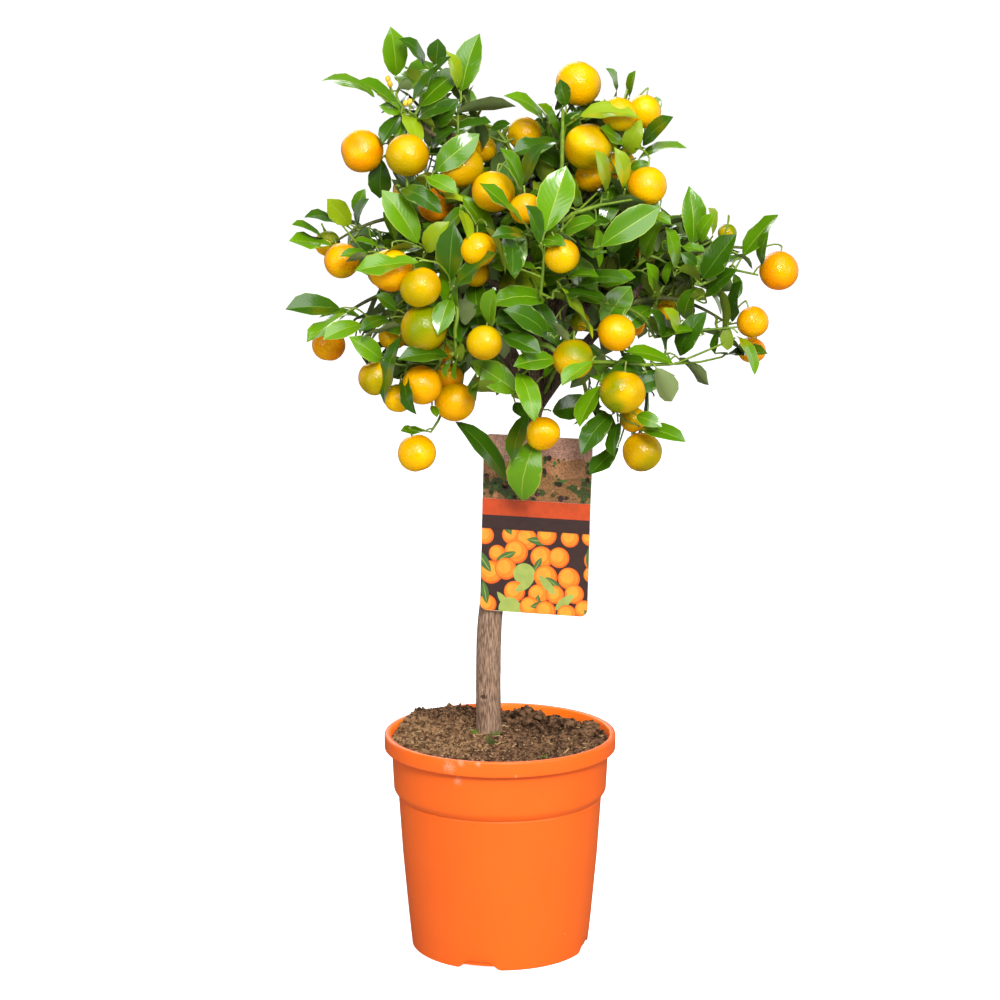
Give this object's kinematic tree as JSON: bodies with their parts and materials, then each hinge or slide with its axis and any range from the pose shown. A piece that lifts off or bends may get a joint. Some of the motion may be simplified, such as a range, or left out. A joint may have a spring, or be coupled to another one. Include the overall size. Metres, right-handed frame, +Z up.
{
  "type": "calamondin orange tree in a nursery pot",
  "caption": "Small calamondin orange tree with a bare leaning stem and a loose crown of glossy leaves and orange fruit, in an orange plastic nursery pot with a hang card.",
  "frame": {"origin": "centre of the pot's flat underside, where it stands", "axes": "+Z up along the pot's axis; the front with the hang card faces -Y; +X to the viewer's right from the front"},
  "size_m": [0.4607, 0.336, 0.841],
  "materials": {
    "pot_plastic": "injection-moulded orange polypropylene, satin, with a few scuffs at the rim",
    "compost": "lumpy brown potting compost with straw, grit and a little moss",
    "bark": "grey-brown bark with fine lengthwise fissures, green on the young twigs",
    "leaf": "glossy dark green leaves with a pale rib and edge, duller grey-green underneath, lime on young shoots",
    "fruit": "shiny finely pored citrus peel, deep yellow-orange, flushed green on some fruit",
    "printed_card": null,
    "strap_plastic": "thin pale plastic strap"
  },
  "bodies": {
    "root": {"pot": "pot_plastic", "root_ball": "compost", "trunk": "bark", "bough_back": "bark", "bough_back_left": "bark", "bough_back_low": "bark", "bough_back_right": "bark", "bough_front": "bark", "bough_front_low": "bark", "bough_hanging": "bark", "bough_left": "bark", "bough_left_arm": "bark", "bough_low_left": "bark", "bough_low_left_arm": "bark", "bough_low_right": "bark", "bough_low_right_arm": "bark", "bough_right": "bark", "bough_top_left": "bark", "bough_top_right": "bark", "bough_upper_left": "bark", "bough_upper_middle": "bark", "bough_upper_right": "bark", "foliage_back": "leaf", "foliage_back_left": "leaf", "foliage_back_low": "leaf", "foliage_back_right": "leaf", "foliage_front": "leaf", "foliage_front_low": "leaf", "foliage_hanging": "leaf", "foliage_left": "leaf", "foliage_left_arm": "leaf", "foliage_low_left": "leaf", "foliage_low_left_arm": "leaf", "foliage_low_right": "leaf", "foliage_low_right_arm": "leaf", "foliage_right": "leaf", "foliage_right_arm": "leaf", "foliage_top_left": "leaf", "foliage_top_right": "leaf", "foliage_upper_left": "leaf", "foliage_upper_middle": "leaf", "foliage_upper_right": "leaf", "hang_card": "printed_card", "card_strap": "strap_plastic"}
  },
  "joints": []
}
